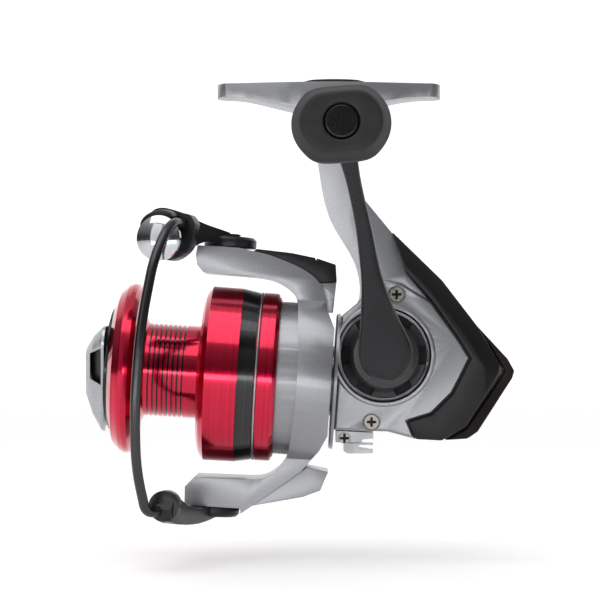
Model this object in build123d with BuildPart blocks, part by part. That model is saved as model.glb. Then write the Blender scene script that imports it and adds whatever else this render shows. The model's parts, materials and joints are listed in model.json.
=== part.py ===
"""Spinning reel, millimetres, +Z up towards the rod, front of the reel towards -X.

The origin is the centre of the foot's seating face. The handle is on the -Y side.
The spool, rotor and main shaft share one axis, tilted up towards the front.
Along that axis, u is the distance forward of the gear box face and r or v the distance from it.
"""
from build123d import *
import os
from math import cos, radians, sin, tan

os.makedirs("parts", exist_ok=True)

# ---------------------------------------------------------------- driving dimensions
foot_length = 64.0
foot_tip_thickness = 4.0
foot_half_width = 8.0
foot_tip_half_width = 5.0

shaft_tilt = 3.7                # degrees, front end up
shaft_x = 1.0                   # where the shaft axis leaves the gear box
shaft_z = -85.05
main_shaft_radius = 2.0
running_gap = 0.05              # radial clearance of a running fit
body_gap = 0.35                 # clearance between bodies that never touch

handle_x = 15.4                 # handle axis, parallel to Y
handle_z = -77.5
handle_length = 58.4
handle_lean = 12.6              # degrees forward of upright
knob_start_y = 60.6             # distance out from the reel's middle plane
knob_length = 29.5

side_face = 11.5                # side cover's outer face, out from the middle plane
far_face = 11.5                 # gear box's far side, the other way
wall = 2.0
ring_radius = 14.6
ring_bore = 13.4
ring_height = 1.5

plate_radius = 19.5
plate_thickness = 1.2
drum_radius = 21.9
drum_wall = 1.5
rotor_arm_half_width = 9.5
pinion_radius = 3.0
gear_teeth = 47
pinion_teeth = 9

spool_lip_radius = 24.4
spool_hub_radius = 13.3
groove_pitch = 1.36
groove_count = 8
skirt_radius = 25.1
skirt_bore = 22.5
skirt_tube_radius = 23.3
band_radius = 24.1

bail_pivot_u = 31.8             # bail hinge, square to the shaft, through both rotor arms
wire_radius = 1.35
wire_side_angle = 65.0          # degrees of the wire's plane from straight ahead
arm_side_angle = 48.0           # the bail arm's plane
roller_axis_angle = 76.0        # line roller's axis, from straight ahead
cap_radius = 6.2

# ---------------------------------------------------------------- frames and helpers
forward = Vector(-cos(radians(shaft_tilt)), 0, sin(radians(shaft_tilt)))
upward = Vector(sin(radians(shaft_tilt)), 0, cos(radians(shaft_tilt)))
near = Vector(0, -1, 0)
shaft_origin = Vector(shaft_x, 0, shaft_z)
shaft_axis = Axis(shaft_origin, forward)
shaft_side = Plane(origin=shaft_origin, x_dir=forward, z_dir=(0, 1, 0))
handle_axis = Axis((handle_x, 0, handle_z), (0, 1, 0))


def reel(u, out, v):
    """Point u forward along the shaft, out towards the handle side and v above the shaft."""
    return shaft_origin + forward * u + near * out + upward * v


def across(u):
    """Plane square to the shaft, its x towards the handle side and its y up."""
    return Plane(origin=reel(u, 0, 0), x_dir=near, z_dir=forward)


def heading(angle):
    """Direction at an angle from straight ahead, turned towards the handle side."""
    return forward * cos(radians(angle)) + near * sin(radians(angle))


def level(v):
    """Plane square to the bail hinge at height v, its x straight ahead."""
    return Plane(origin=reel(bail_pivot_u, 0, v), x_dir=forward, z_dir=upward)


def side(out):
    """Plane parallel to the middle plane, out towards the handle side, in x and z."""
    return Plane.XZ.offset(out)


def handle_side(out):
    """Plane square to the handle axis, its y along the handle arm."""
    lean = radians(handle_lean)
    return Plane(origin=(handle_x, -out, handle_z), x_dir=(cos(lean), 0, sin(lean)), z_dir=(0, -1, 0))


def face_of(plane, outline):
    with BuildSketch(plane) as section:
        with BuildLine():
            Polyline(*outline, close=True)
        make_face()
    return section.sketch


def turn(outline, mode=Mode.ADD):
    """Solid of revolution about the shaft, from its outline in u and r."""
    revolve(face_of(shaft_side, outline), axis=shaft_axis, mode=mode)


def tube(start, end, outer, bore, mode=Mode.ADD):
    """Round tube about the shaft from u = start to u = end."""
    turn([(start, bore), (end, bore), (end, outer), (start, outer)], mode)


def handle_turn(outline, mode=Mode.ADD):
    """Solid of revolution about the handle axis, from its outline in distance out and r."""
    section_plane = Plane(origin=(handle_x, 0, handle_z), x_dir=(0, -1, 0), z_dir=(1, 0, 0))
    revolve(face_of(section_plane, outline), axis=handle_axis, mode=mode)


def handle_tube(start, end, outer, bore, mode=Mode.ADD):
    handle_turn([(start, bore), (end, bore), (end, outer), (start, outer)], mode)


def disc(plane, radius, height, mode=Mode.ADD, centre=(0, 0)):
    with BuildSketch(plane) as section:
        with Locations(centre):
            Circle(radius)
    extrude(section.sketch, amount=height, mode=mode)


def slab(plane, outline, depth, mode=Mode.ADD):
    extrude(face_of(plane, outline), amount=depth, mode=mode)


def save(solid, name):
    solid.part.label = name
    export_step(solid.part, f"parts/{name}.step")


# ---------------------------------------------------------------- body casting
foot_end = foot_length / 2
screw_spots = [(19.1, -60.4), (12.0, -96.4)]     # the side cover's two screws, in x and z
box_front_top = reel(-plate_thickness, 0, 18.6)
box_front_bottom = reel(-plate_thickness, 0, -13.5)
room_front_top = reel(-3.8, 0, 17.4)
room_front_bottom = reel(-3.8, 0, -11.2)
gear_box_outline = [
    (box_front_top.X, box_front_top.Z), (8.2, -62.6), (14.0, -56.2), (20.7, -57.4), (28.9, -62.4),
    (36.4, -72.7), (39.9, -78.3), (37.2, -83.8), (34.8, -88.4), (28.9, -94.2), (22.3, -96.2),
    (24.4, -101.2), (16.6, -99.1), (box_front_bottom.X, box_front_bottom.Z),
]
gear_room_outline = [
    (room_front_top.X, room_front_top.Z), (9.9, -64.0), (15.0, -58.6), (20.0, -59.6), (27.4, -64.2),
    (34.4, -73.8), (37.4, -78.3), (32.9, -87.2), (27.8, -92.2), (20.6, -94.4), (19.0, -96.4),
    (room_front_bottom.X, room_front_bottom.Z),
]
split_out = 3.0                 # the side cover meets the casting this far out
boss_radius = 2.7
screw_radius = 1.1
screw_head_radius = 2.3
screw_recess_depth = 1.1
bearing_radius = 5.5
drive_shaft_radius = 3.0
pinion_bearing_radius = 6.0
guide_rod_radius = 0.8
guide_rod_v = 3.0
guide_rod_rear = -35.0
rod_web_u = -13.4               # web in the casting that carries the rod's front end
crosswind_x = 23.9
crosswind_z = -86.05
crosswind_pin_radius = 1.5
pad_length = 18.3
pad_centre_x = 1.55

with BuildPart() as guide_rod:
    with BuildSketch(across(guide_rod_rear)):
        with Locations((0, guide_rod_v)):
            Circle(guide_rod_radius)
    extrude(amount=rod_web_u + 1.3 - guide_rod_rear)
save(guide_rod, "guide_rod")

with BuildPart() as body_frame:
    with BuildSketch(Plane.XY) as foot_plan:
        with BuildLine():
            tip = foot_end - 2.5
            Spline((-tip, -foot_tip_half_width), (-12, -foot_half_width), (12, -foot_half_width),
                   (tip, -foot_tip_half_width), tangents=[(1, -0.12), (1, 0.12)])
            ThreePointArc((tip, -foot_tip_half_width), (foot_end, 0), (tip, foot_tip_half_width))
            Spline((tip, foot_tip_half_width), (12, foot_half_width), (-12, foot_half_width),
                   (-tip, foot_tip_half_width), tangents=[(-1, 0.12), (-1, -0.12)])
            ThreePointArc((-tip, foot_tip_half_width), (-foot_end, 0), (-tip, -foot_tip_half_width))
        make_face()
    extrude(foot_plan.sketch, amount=-12)
    with BuildSketch(side(12)) as foot_profile:
        with BuildLine():
            Line((-foot_end, 0), (foot_end, 0))
            Line((foot_end, 0), (foot_end, -foot_tip_thickness))
            Spline((foot_end, -foot_tip_thickness), (16, -5.2), (4, -7.4), (-10, -7.0),
                   (-20, -4.8), (-foot_end, -foot_tip_thickness))
            Line((-foot_end, -foot_tip_thickness), (-foot_end, 0))
        make_face()
    extrude(foot_profile.sketch, amount=-24, mode=Mode.INTERSECT)
    with BuildSketch(side(5.5)) as stem_profile:
        with BuildLine():
            front_edge = Spline((-8.5, -6.2), (-3.1, -22.3), (0.7, -39.0), (6.0, -48.1), (8.7, -55.5),
                                (8.2, -62.6), tangents=[(0.75, -1), (-0.6, -1)])
            Polyline(front_edge @ 1, (16.0, -66.0), (28.9, -62.4), (21.9, -54.4), (17.9, -42.6),
                     (10.8, -34.0))
            Spline((10.8, -34.0), (8.2, -25.0), (14.0, -6.2), tangents=[(-0.66, 0.75), (0.8, 0.6)])
            Line((14.0, -6.2), front_edge @ 0)
        make_face()
    extrude(stem_profile.sketch, amount=-11)
    slab(side(split_out), gear_box_outline, -(far_face + split_out))
    slab(side(split_out), gear_room_outline, -(far_face + split_out - wall), Mode.SUBTRACT)
    for spot in screw_spots:
        disc(side(split_out), boss_radius, -(far_face + split_out - 1), centre=spot)
    handle_tube(-far_face, -far_face + 2.7, bearing_radius + 1.5, 0)
    disc(side(-far_face + 1), crosswind_pin_radius, 7.9, centre=(crosswind_x, crosswind_z))
    handle_tube(-far_face, -far_face + 2.7, bearing_radius, 0, Mode.SUBTRACT)
    slab(side(split_out), gear_box_outline, 10, Mode.SUBTRACT)
    slab(Plane(origin=reel(0, 2.9, 0), x_dir=forward, z_dir=(0, 1, 0)),
         [(rod_web_u, -12), (rod_web_u + 1.3, -12), (rod_web_u + 1.3, 3.95), (rod_web_u, 3.95)], 5.2)
    tube(rod_web_u - 0.5, rod_web_u + 2, main_shaft_radius + 0.4, 0, Mode.SUBTRACT)
    for spot in screw_spots:
        disc(side(split_out), screw_radius, -9, Mode.SUBTRACT, spot)
    tube(-5.0, 0, pinion_bearing_radius, 0, Mode.SUBTRACT)
    add(guide_rod.part, mode=Mode.SUBTRACT)
    with BuildSketch(Plane.XY) as pad_seat:
        with Locations((pad_centre_x, 0)):
            RectangleRounded(pad_length, 10.5, 3)
    extrude(pad_seat.sketch, amount=-1.2, mode=Mode.SUBTRACT)
save(body_frame, "body_frame")

with BuildPart() as foot_pad:
    with BuildSketch(Plane.XY.offset(-1.2)) as pad_plan:
        with Locations((pad_centre_x, 0)):
            RectangleRounded(pad_length, 10.5, 3)
    extrude(pad_plan.sketch, amount=1.2)
save(foot_pad, "foot_pad")

with BuildPart() as side_cover:
    slab(side(split_out), gear_box_outline, side_face - split_out)
    chamfer(side_cover.faces().sort_by(Axis.Y)[0].edges(), length=0.7)
    slab(side(split_out), gear_room_outline, side_face - split_out - wall, Mode.SUBTRACT)
    handle_tube(4.5, side_face, ring_radius, 0)
    handle_tube(side_face, side_face + ring_height, ring_radius, 0)
    chamfer(side_cover.faces().sort_by(Axis.Y)[0].edges(), length=0.5)
    handle_tube(7.9, side_face + ring_height, ring_bore, 0, Mode.SUBTRACT)
    handle_tube(4.5, 7.9, bearing_radius, 0, Mode.SUBTRACT)
    for spot in screw_spots:
        disc(side(split_out), boss_radius, side_face - split_out - 1, centre=spot)
        disc(side(split_out), screw_radius, side_face, Mode.SUBTRACT, spot)
        disc(side(side_face - screw_recess_depth), screw_head_radius + 0.2, 3, Mode.SUBTRACT, spot)
    handle_tube(7.9, side_face + ring_height, ring_bore, 0, Mode.SUBTRACT)
    tube(-plate_thickness, 20, 60, 0, Mode.SUBTRACT)
    tube(-5.0, 0, pinion_bearing_radius, 0, Mode.SUBTRACT)
save(side_cover, "side_cover")

with BuildPart() as cover_screws:
    for spot in screw_spots:
        disc(side(side_face - screw_recess_depth), screw_head_radius, 0.9, centre=spot)
        disc(side(side_face - screw_recess_depth), screw_radius, -14, centre=spot)
        for turned_by in (0, 90):
            with BuildSketch(side(side_face - 0.9)) as drive_slot:
                with Locations(Location((*spot, 0), turned_by)):
                    RectangleRounded(2.6, 0.8, 0.3)
            extrude(drive_slot.sketch, amount=1, mode=Mode.SUBTRACT)
save(cover_screws, "cover_screws")

# ---------------------------------------------------------------- rear cover, tail strip, small body parts
rear_half_width = 12.2
rear_inner_edge = [
    (28.9, -62.4), (36.4, -72.7), (39.9, -78.3), (37.2, -83.8), (34.8, -88.4), (28.9, -94.2),
    (22.3, -96.2), (24.4, -101.2),
]
with BuildPart() as rear_cover:
    slab(side(rear_half_width), [
        (17.9, -42.6), (32.0, -56.3), (42.3, -69.7), (48.2, -79.9), (48.3, -82.4), (38.6, -97.6),
        (31.8, -101.6), *reversed(rear_inner_edge), (21.9, -54.4)], -2 * rear_half_width)
    rims = [e for f in rear_cover.faces().filter_by(Axis.Y) for e in f.edges()
            if e.center().X + 0.72 * e.center().Z > -11.5]
    chamfer(rims, length=2.6, length2=4.2)
save(rear_cover, "rear_cover")

with BuildPart() as rear_bumper:
    slab(side(7.5), [
        (41.9, -69.0), (50.8, -78.6), (52.7, -82.0), (52.1, -84.1), (42.3, -99.3), (39.4, -101.3),
        (33.0, -101.7), (38.4, -98.9), (39.6, -97.6), (49.8, -82.5), (49.8, -81.5)], -15)
save(rear_bumper, "rear_bumper")

with BuildPart() as front_plate:
    turn([(-plate_thickness, 5.0), (0, 5.0), (0, plate_radius - 0.4), (-0.4, plate_radius),
          (-plate_thickness, plate_radius)])
save(front_plate, "front_plate")

with BuildPart() as pinion_bearing:
    tube(-4.6, -plate_thickness, pinion_bearing_radius, pinion_radius + running_gap)
    tube(-4.6, -4.2, 5.2, 3.9, Mode.SUBTRACT)
    tube(-1.6, -plate_thickness, 5.2, 3.9, Mode.SUBTRACT)
save(pinion_bearing, "pinion_bearing")

clutch_bore = 7.6
clutch_roller_radius = 1.2
clutch_sleeve_radius = 5.1
with BuildPart() as clutch_housing:
    tube(0, 6.0, 10.0, clutch_bore)
    tube(0, 0.8, clutch_bore, clutch_sleeve_radius + 0.5)
save(clutch_housing, "clutch_housing")

with BuildPart() as clutch_rollers:
    with BuildSketch(across(1.0)):
        with PolarLocations((clutch_bore + clutch_sleeve_radius) / 2, 6):
            Circle(clutch_roller_radius)
    extrude(amount=4.6)
save(clutch_rollers, "clutch_rollers")

with BuildPart() as drive_bearings:
    handle_tube(4.7, 7.7, bearing_radius, drive_shaft_radius + running_gap)
    handle_tube(7.4, 7.7, 4.7, 3.8, Mode.SUBTRACT)
    handle_tube(-far_face + 0.2, -far_face + 2.6, bearing_radius, drive_shaft_radius + running_gap)
save(drive_bearings, "drive_bearings")

with BuildPart() as far_side_cap:
    handle_tube(-far_face - 2.2, -far_face, 7.5, 0)
    chamfer(far_side_cap.faces().sort_by(Axis.Y)[-1].edges(), length=0.8)
    with BuildSketch(side(-far_face - 2.2)) as coin_slot:
        with Locations((handle_x, handle_z)):
            Rectangle(9, 1.4)
    extrude(coin_slot.sketch, amount=0.9, mode=Mode.SUBTRACT)
save(far_side_cap, "far_side_cap")

bracket_screw_spot = (4.4, -101.1)
lever_pivot_x = 6.6
lever_pivot_radius = 1.2
with BuildPart() as lever_bracket:
    slab(side(8.5), [(1.9, -99.0), (12.6, -99.5), (12.6, -101.2), (9.4, -101.5), (9.4, -102.3),
                     (1.9, -102.3)], -11)
    disc(side(7.2), 1.7, 2, Mode.SUBTRACT, bracket_screw_spot)
    disc(side(8), 0.9, -7, Mode.SUBTRACT, bracket_screw_spot)
    with BuildSketch(Plane.XY.offset(-102.3)) as lever_stud:
        with Locations((lever_pivot_x, -3.0)):
            Circle(lever_pivot_radius)
    extrude(lever_stud.sketch, amount=-3.2)
save(lever_bracket, "lever_bracket")

with BuildPart() as bracket_screw:
    disc(side(7.2), 1.6, 1.2, centre=bracket_screw_spot)
    disc(side(7.2), 0.9, -5, centre=bracket_screw_spot)
    for turned_by in (0, 90):
        with BuildSketch(side(7.8)) as drive_slot:
            with Locations(Location((*bracket_screw_spot, 0), turned_by)):
                Rectangle(2.2, 0.5)
        extrude(drive_slot.sketch, amount=1, mode=Mode.SUBTRACT)
save(bracket_screw, "bracket_screw")

with BuildPart() as anti_reverse_lever:
    with BuildSketch(Plane.XY.offset(-102.65)) as lever_plan:
        with BuildLine():
            Polyline((4.2, -5.2), (8.8, -5.2), (12.6, -4.4), (12.6, -1.6), (8.8, -0.8), (4.2, -0.8),
                     close=True)
        make_face()
    extrude(lever_plan.sketch, amount=-3.0)
    slab(side(7), [(3.0, -102.6), (13.0, -102.6), (13.0, -103.3), (8.6, -103.2), (8.4, -103.9),
                   (13.0, -104.6), (13.0, -107), (12.2, -105.7), (5.4, -105.7), (3.6, -104.6)], -7,
         Mode.INTERSECT)
    with BuildSketch(Plane.XY.offset(-102)) as pivot_hole:
        with Locations((lever_pivot_x, -3.0)):
            Circle(lever_pivot_radius + running_gap)
    extrude(pivot_hole.sketch, amount=-5, mode=Mode.SUBTRACT)
save(anti_reverse_lever, "anti_reverse_lever")

# ---------------------------------------------------------------- handle side: gears, shaft, arm, knob
gear_outer_radius = 9.7
gear_inner_radius = 8.2
gear_hub_radius = 4.2
with BuildPart() as drive_gear:
    handle_tube(-8.4, -5.0, gear_outer_radius, drive_shaft_radius)
    handle_tube(-5.0, 3.8, gear_hub_radius, drive_shaft_radius)
    handle_tube(-7.4, -5.0, 7.6, 5.2, Mode.SUBTRACT)
    with BuildSketch(side(-5.0)) as face_teeth:
        with Locations((handle_x, handle_z)):
            with PolarLocations((gear_outer_radius + gear_inner_radius) / 2, gear_teeth):
                Rectangle(gear_outer_radius - gear_inner_radius - 0.1, 0.62)
    extrude(face_teeth.sketch, amount=0.9)
    with BuildSketch(side(-3.7)) as hub_teeth:
        with Locations((handle_x, handle_z)):
            with PolarLocations(gear_hub_radius + 0.3, 20):
                Rectangle(0.9, 0.6)
    extrude(hub_teeth.sketch, amount=1.2)
save(drive_gear, "drive_gear")

with BuildPart() as drive_shaft:
    handle_tube(-11.0, 33.5, drive_shaft_radius, 0)
    chamfer(drive_shaft.edges().filter_by(GeomType.CIRCLE), length=0.4)
save(drive_shaft, "drive_shaft")

crosswind_radius = 6.5
with BuildPart() as crosswind_gear:
    disc(side(-3.7), crosswind_radius - 0.4, 1.2, centre=(crosswind_x, crosswind_z))
    with BuildSketch(side(-3.7)) as rim_teeth:
        with Locations((crosswind_x, crosswind_z)):
            with PolarLocations(crosswind_radius - 0.5, 28):
                Rectangle(0.9, 0.6)
    extrude(rim_teeth.sketch, amount=1.2)
    disc(side(-4), crosswind_pin_radius + running_gap, 3, Mode.SUBTRACT, (crosswind_x, crosswind_z))
save(crosswind_gear, "crosswind_gear")

collar_foot = 10.2
collar_tip = 31.6
collar_window_count = 6
collar_window_radius = 11.0
collar_window_floor = 12.2
with BuildPart() as handle_collar:
    with BuildSketch(Plane(origin=(handle_x, 0, handle_z), x_dir=(0, -1, 0), z_dir=(1, 0, 0))) as flare:
        with BuildLine():
            Polyline((collar_tip, 8.8), (collar_tip, drive_shaft_radius), (collar_foot, drive_shaft_radius),
                     (collar_foot, 11.9), (12.8, 12.2), (13.6, 11.9))
            Spline((13.6, 11.9), (19.0, 9.4), (collar_tip, 8.8), tangents=[(0.5, -1), (1, 0)])
        make_face()
    revolve(flare.sketch, axis=handle_axis)
    with BuildSketch(side(collar_window_floor)) as windows:
        with Locations((handle_x, handle_z)):
            with PolarLocations(collar_window_radius, collar_window_count):
                Rectangle(2.8, 5.2)
    extrude(windows.sketch, amount=5, mode=Mode.SUBTRACT)
save(handle_collar, "handle_collar")

arm_tip_inner = 55.2
spindle_radius = 1.8
with BuildPart() as handle_arm:
    with BuildSketch(handle_side(20)) as arm_front:
        with BuildLine():
            left = Spline((-7.2, 1.0), (-5.4, 9.0), (-3.9, 15.0), (-2.8, 22.0), (-2.3, 34.0), (-3.0, handle_length),
                          tangents=[(0, 1), (0, 1)])
            ThreePointArc(left @ 1, (0, handle_length + 3.2), (3.0, handle_length))
            right = Spline((3.0, handle_length), (2.3, 34.0), (2.8, 22.0), (3.9, 15.0), (5.4, 9.0), (7.2, 1.0),
                           tangents=[(0, -1), (0, -1)])
            ThreePointArc(right @ 1, (0, -6.6), left @ 0)
        make_face()
    extrude(arm_front.sketch, amount=45)
    edge_plane = Plane(origin=(handle_x, 0, handle_z), x_dir=handle_side(0).y_dir, z_dir=handle_side(0).x_dir)
    with BuildSketch(edge_plane.offset(-12)) as arm_edge:
        with BuildLine():
            inner = Spline((-9, 31.0), (7, 31.9), (15, 38.8), (39, 46.6), (52, arm_tip_inner - 0.8),
                           (63, arm_tip_inner), tangents=[(1, 0), (1, 0)])
            Line(inner @ 1, (63, arm_tip_inner + 5))
            outer = Spline((63, arm_tip_inner + 5), (51, 58.6), (39, 52.8), (15, 45.6), (3, 39.2),
                           (-9, 37.0), tangents=[(-1, 0), (-1, 0)])
            Line(outer @ 1, inner @ 0)
        make_face()
    extrude(arm_edge.sketch, amount=24, mode=Mode.INTERSECT)
    disc(handle_side(50), spindle_radius, 12, Mode.SUBTRACT, (0, handle_length))
    add(handle_collar.part, mode=Mode.SUBTRACT)
    add(drive_shaft.part, mode=Mode.SUBTRACT)
save(handle_arm, "handle_arm")
knob_spot = (0, handle_length)
knob_end = knob_start_y + knob_length
spindle_end = knob_end - 5.0
bush_radius = 3.2
with BuildPart() as knob_spindle:
    disc(handle_side(arm_tip_inner), spindle_radius, spindle_end - arm_tip_inner, centre=knob_spot)
    disc(handle_side(spindle_end), 2.8, 1.2, centre=knob_spot)
save(knob_spindle, "knob_spindle")

with BuildPart() as knob_bushes:
    for start in (knob_start_y + 0.4, spindle_end - 3.3):
        disc(handle_side(start), bush_radius, 2.9, centre=knob_spot)
        disc(handle_side(start), spindle_radius + running_gap, 2.9, Mode.SUBTRACT, knob_spot)
save(knob_bushes, "knob_bushes")

cap_recess_radius = 4.4
knob_turn = 8.2                 # degrees the free-turning knob stands back from the arm
with BuildPart() as handle_knob:
    for distance, width, height, corner in (
            (0.0, 9.5, 9.5, 4.7), (5.0, 9.5, 9.5, 4.7), (13.0, 19.5, 14.5, 6.5),
            (21.0, 25.0, 17.4, 7.5), (26.0, 23.6, 16.6, 7.2), (knob_length, 20.4, 14.8, 6.6)):
        with BuildSketch(handle_side(knob_start_y + distance)):
            with Locations(Location((*knob_spot, 0), (0, 0, -knob_turn))):
                RectangleRounded(width, height, corner)
    loft()
    disc(handle_side(knob_start_y), bush_radius, spindle_end - knob_start_y, Mode.SUBTRACT, knob_spot)
    disc(handle_side(spindle_end - 0.4), cap_recess_radius, 10, Mode.SUBTRACT, knob_spot)
save(handle_knob, "handle_knob")

with BuildPart() as knob_cap:
    disc(handle_side(spindle_end + 1.5), cap_recess_radius - 0.25, knob_end - spindle_end - 1.7,
         centre=knob_spot)
    fillet(knob_cap.faces().sort_by(Axis.Y)[0].edges(), radius=0.6)
save(knob_cap, "knob_cap")

# ---------------------------------------------------------------- main shaft and what it carries
shaft_rear = -25.5
shaft_front = 62.5
with BuildPart() as main_shaft:
    tube(shaft_rear, shaft_front, main_shaft_radius, 0)
    chamfer(main_shaft.edges().filter_by(GeomType.CIRCLE), length=0.4)
save(main_shaft, "main_shaft")

with BuildPart() as crosswind_slider:
    slab(Plane(origin=reel(0, 4.2, 0), x_dir=forward, z_dir=(0, 1, 0)),
         [(shaft_rear + 0.5, -2.8), (-20.9, -4.5), (-20.9, 3.2), (shaft_rear + 0.5, 3.2)], 6.4)
    tube(-30, -10, main_shaft_radius, 0, Mode.SUBTRACT)
    with BuildSketch(across(-30)) as rod_groove:
        with Locations((0, guide_rod_v)):
            Circle(guide_rod_radius + running_gap)
    extrude(rod_groove.sketch, amount=20, mode=Mode.SUBTRACT)
save(crosswind_slider, "crosswind_slider")

ratchet_u = 31.0
with BuildPart() as click_ratchet:
    tube(ratchet_u, ratchet_u + 2.0, 8.6, main_shaft_radius)
    with BuildSketch(across(ratchet_u)) as clicks:
        with PolarLocations(8.8, 30):
            Rectangle(1.0, 0.8)
    extrude(clicks.sketch, amount=2.0)
    tube(ratchet_u + 2.0, ratchet_u + 3.6, 4.0, main_shaft_radius)
save(click_ratchet, "click_ratchet")

# ---------------------------------------------------------------- spool and drag
spool_floor = 35.4
spool_skirt_rear = 15.9
drag_room_radius = 12.0
drag_room_u = 50.4
knob_recess_radius = 15.2
bush_outer = 4.2
with BuildPart() as spool:
    turn([
        (63.6, knob_recess_radius), (63.4, 17.0), (61.5, 22.0), (59.4, 23.9), (58.1, spool_lip_radius),
        (56.8, 24.2), (55.7, 22.6), (54.4, 15.4), (53.3, spool_hub_radius), (38.4, spool_hub_radius),
        (37.9, 14.4), (37.6, 21.6), (36.8, 23.6), (35.5, skirt_radius), (26.6, skirt_radius - 0.1),
        (26.6, skirt_tube_radius), (16.4, skirt_tube_radius), (spool_skirt_rear, skirt_tube_radius - 0.4),
        (spool_skirt_rear, skirt_bore),
        (34.4, skirt_bore), (spool_floor, 21.2), (spool_floor, bush_outer), (drag_room_u, bush_outer),
        (drag_room_u, drag_room_radius), (62.4, drag_room_radius), (62.4, knob_recess_radius)])
    for groove in range(groove_count):
        start = 42.2 + groove * groove_pitch
        tube(start, start + 0.5, spool_hub_radius + 1, spool_hub_radius - 0.55, Mode.SUBTRACT)
save(spool, "spool")

with BuildPart() as skirt_band:
    turn([(21.8, skirt_tube_radius), (26.5, skirt_tube_radius), (26.5, skirt_radius - 0.2),
          (22.0, band_radius), (21.8, band_radius - 0.2)])
save(skirt_band, "skirt_band")

with BuildPart() as skirt_rear_ring:
    turn([(16.4, skirt_tube_radius), (21.0, skirt_tube_radius), (21.0, band_radius),
          (20.8, band_radius + 0.15), (16.9, band_radius + 0.05), (16.4, band_radius - 0.4)])
save(skirt_rear_ring, "skirt_rear_ring")

with BuildPart() as lip_trim:
    turn([(63.6, knob_recess_radius), (64.0, knob_recess_radius + 0.2), (63.8, 16.9), (63.4, 17.0)])
save(lip_trim, "lip_trim")

with BuildPart() as spool_bush:
    tube(spool_floor, drag_room_u, bush_outer, main_shaft_radius + running_gap)
save(spool_bush, "spool_bush")

with BuildPart() as drag_washers:
    for washer in range(5):
        start = drag_room_u + washer * 0.9
        tube(start, start + 0.8, drag_room_radius - 0.4, main_shaft_radius + 0.4)
save(drag_washers, "drag_washers")

with BuildPart() as drag_retainer:
    tube(55.2, 56.0, drag_room_radius, drag_room_radius - 1.4)
save(drag_retainer, "drag_retainer")

shell_base = 64.5
shell_front = 70.4
window_base = 65.3
window_front = 68.9
window_angles = (0, 120, 240)


def three_lobes(u, side_distance, corner):
    """Rounded triangle square to the shaft, one lobe down."""
    with BuildSketch(across(u)) as outline:
        RegularPolygon(2 * side_distance, 3, rotation=30)
        fillet(outline.vertices(), radius=corner)
    return outline.sketch


def knob_form(inset):
    """Drag knob's outer shape, drawn in by an inset."""
    for u, side_distance, corner in ((shell_base, 11.6, 4.6), (window_base, 11.5, 4.6), (68.2, 8.6, 3.4),
                                     (shell_front, 5.2, 2.0)):
        add(three_lobes(u - inset, side_distance - inset, corner - inset / 2))
    loft(ruled=True)


def knob_windows(inset, mode):
    """The three wedge-shaped grips, as solids from near the shaft outwards."""
    for angle in window_angles:
        outward = near.rotate(Axis((0, 0, 0), forward), angle)
        slab(Plane(origin=shaft_origin + outward * 4.4, x_dir=forward, z_dir=outward),
             [(window_base, -5.2 + inset), (window_front - inset, -3.6 + inset),
              (window_front - inset, 3.6 - inset), (window_base, 5.2 - inset)], 16, mode)


with BuildPart() as drag_knob_shell:
    knob_form(0)
    turn([(shell_base - 1, 0), (shell_base - 1, 9.6), (window_base + 0.4, 9.6), (window_front, 4.4),
          (window_front, 0)], Mode.SUBTRACT)
    knob_windows(0, Mode.SUBTRACT)
save(drag_knob_shell, "drag_knob_shell")

with BuildPart() as drag_knob_insert:
    with BuildPart() as grips:
        knob_form(0.9)
        with BuildPart(mode=Mode.INTERSECT) as wedges:
            knob_windows(0.1, Mode.ADD)
    add(grips.part)
    turn([(62.8, 2.6), (62.8, 14.4), (shell_base - 0.1, 14.4), (shell_base - 0.1, 9.4), (window_base + 0.4, 9.4),
          (window_front - 0.2, 4.2), (window_front - 0.2, 0), (shell_base - 0.6, 0), (shell_base - 0.6, 2.6)])
save(drag_knob_insert, "drag_knob_insert")

with BuildPart() as drag_nut:
    with BuildSketch(across(57.4)) as hexagon:
        RegularPolygon(4.6, 6)
    extrude(hexagon.sketch, amount=2.6)
    tube(57, 61, main_shaft_radius + running_gap, 0, Mode.SUBTRACT)
save(drag_nut, "drag_nut")

with BuildPart() as drag_spring:
    for turn_number in range(3):
        with BuildSketch(shaft_side) as wire:
            with Locations((60.5 + turn_number * 0.9, 5.6)):
                Circle(0.42)
        revolve(wire.sketch, axis=shaft_axis)
save(drag_spring, "drag_spring")

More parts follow.
